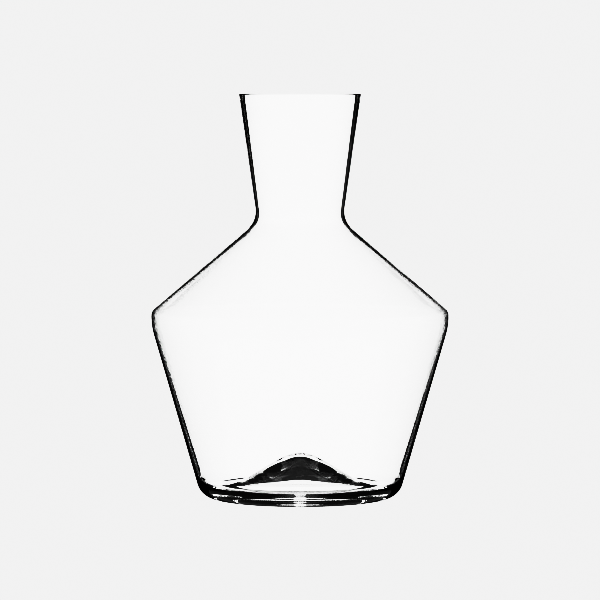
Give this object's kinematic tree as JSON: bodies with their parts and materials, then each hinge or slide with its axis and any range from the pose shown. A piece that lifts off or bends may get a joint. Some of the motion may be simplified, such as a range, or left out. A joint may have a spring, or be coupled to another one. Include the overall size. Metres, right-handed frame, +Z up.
{
  "type": "wine decanter",
  "caption": "Clear glass wine decanter with a flared neck, a narrow waist, a wide conical body and a domed base that stands on a ring.",
  "frame": {"origin": "centre of the ring that the decanter stands on, in the plane of the table", "axes": "+Z up along the vessel's axis, from the base to the mouth; X and Y are level and interchangeable, because the vessel is round"},
  "size_m": [0.1766, 0.1766, 0.24],
  "materials": {
    "clear_glass": "clear colourless blown glass, fire-polished, no tint"
  },
  "bodies": {
    "root": {"glass_vessel": "clear_glass"}
  },
  "joints": []
}
